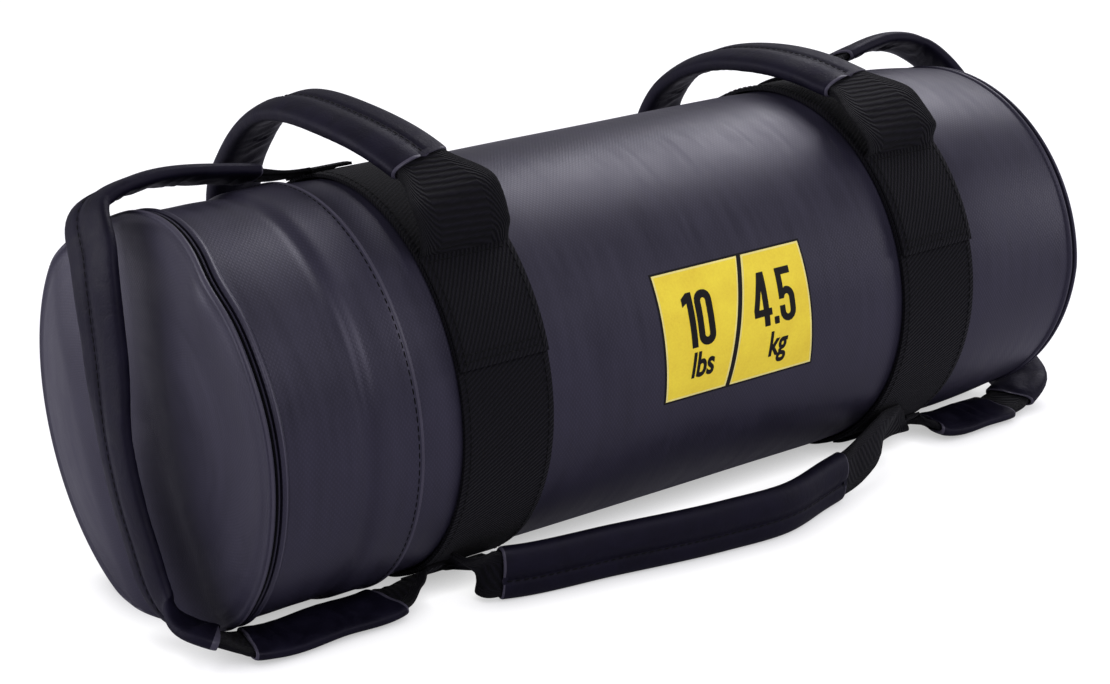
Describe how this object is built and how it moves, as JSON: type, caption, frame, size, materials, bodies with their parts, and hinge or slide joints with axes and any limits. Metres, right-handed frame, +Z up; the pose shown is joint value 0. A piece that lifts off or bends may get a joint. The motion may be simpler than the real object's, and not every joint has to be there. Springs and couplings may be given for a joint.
{
  "type": "weighted training bag",
  "caption": "Filled vinyl cylinder for strength training, with webbing bands, padded grips on top, a long handle in front and a padded strap over each end.",
  "frame": {"origin": "on the floor, under the bag's axis and midway between the two bands", "axes": "+X along the bag towards its plain right end, +Y away from the long handle, +Z up"},
  "size_m": [0.5625, 0.2546, 0.224],
  "materials": {
    "body_vinyl": "satin PVC-coated fabric, black, with a fine diagonal emboss",
    "sleeve_vinyl": "smooth soft black leatherette with a low sheen",
    "webbing": "black polypropylene webbing, fine diagonal ribs",
    "binding": "black woven binding tape",
    "foam": "grey closed-cell foam",
    "wadding": "undyed polyester wadding",
    "pouch": "dark woven inner pouch, packed firm"
  },
  "bodies": {
    "bag": {"main_panel": "body_vinyl", "closing_panel": "body_vinyl", "end_cap_left": "body_vinyl", "end_cap_right": "body_vinyl", "rim_binding_left": "binding", "rim_binding_right": "binding", "cap_pad_left": "foam", "cap_pad_right": "foam", "wadding": "wadding", "ballast_pouch": "pouch", "band_left": "webbing", "band_right": "webbing", "grip_left_foot_front": "webbing", "grip_left_foot_rear": "webbing", "grip_right_foot_front": "webbing", "grip_right_foot_rear": "webbing", "long_handle_foot_left": "webbing", "long_handle_foot_right": "webbing", "end_strap_left_foot_top": "webbing", "end_strap_left_foot_bottom": "webbing", "end_strap_right_foot_top": "webbing", "end_strap_right_foot_bottom": "webbing"},
    "grip_left": {"grip_left_strap": "webbing", "grip_left_foam": "foam", "grip_left_sleeve": "sleeve_vinyl"},
    "grip_right": {"grip_right_strap": "webbing", "grip_right_foam": "foam", "grip_right_sleeve": "sleeve_vinyl"},
    "long_handle": {"long_handle_strap": "webbing", "long_handle_foam": "foam", "long_handle_sleeve": "sleeve_vinyl"},
    "end_strap_left": {"end_strap_left_webbing": "webbing", "end_strap_left_upper_foam": "foam", "end_strap_left_upper_sleeve": "sleeve_vinyl", "end_strap_left_lower_foam": "foam", "end_strap_left_lower_sleeve": "sleeve_vinyl"},
    "end_strap_right": {"end_strap_right_webbing": "webbing", "end_strap_right_upper_foam": "foam", "end_strap_right_upper_sleeve": "sleeve_vinyl", "end_strap_right_lower_foam": "foam", "end_strap_right_lower_sleeve": "sleeve_vinyl"}
  },
  "joints": [
    {"name": "grip_left_swing", "type": "hinge", "parent": "bag", "child": "grip_left", "pos_m": [-0.1385, 0.0181, 0.13788], "axis": [0, 0.9239, -0.3827], "range_deg": [-12, 45], "deforming": ["grip_left_strap"]},
    {"name": "grip_right_swing", "type": "hinge", "parent": "bag", "child": "grip_right", "pos_m": [0.1385, 0.0181, 0.13788], "axis": [0, 0.9239, -0.3827], "range_deg": [-10, 32], "deforming": ["grip_right_strap"]},
    {"name": "long_handle_swing", "type": "hinge", "parent": "bag", "child": "long_handle", "pos_m": [0, -0.05733, 0.0106], "axis": [1, 0, 0], "range_deg": [0, 130], "deforming": ["long_handle_strap"]},
    {"name": "end_strap_left_swing", "type": "hinge", "parent": "bag", "child": "end_strap_left", "pos_m": [-0.1635, -0.00819, 0.09849], "axis": [0, 0.4656, 0.885], "range_deg": [-6, 20], "deforming": ["end_strap_left_webbing"]},
    {"name": "end_strap_right_swing", "type": "hinge", "parent": "bag", "child": "end_strap_right", "pos_m": [0.1635, -0.00819, 0.09849], "axis": [0, 0.4656, 0.885], "range_deg": [-20, 16], "deforming": ["end_strap_right_webbing"]}
  ]
}
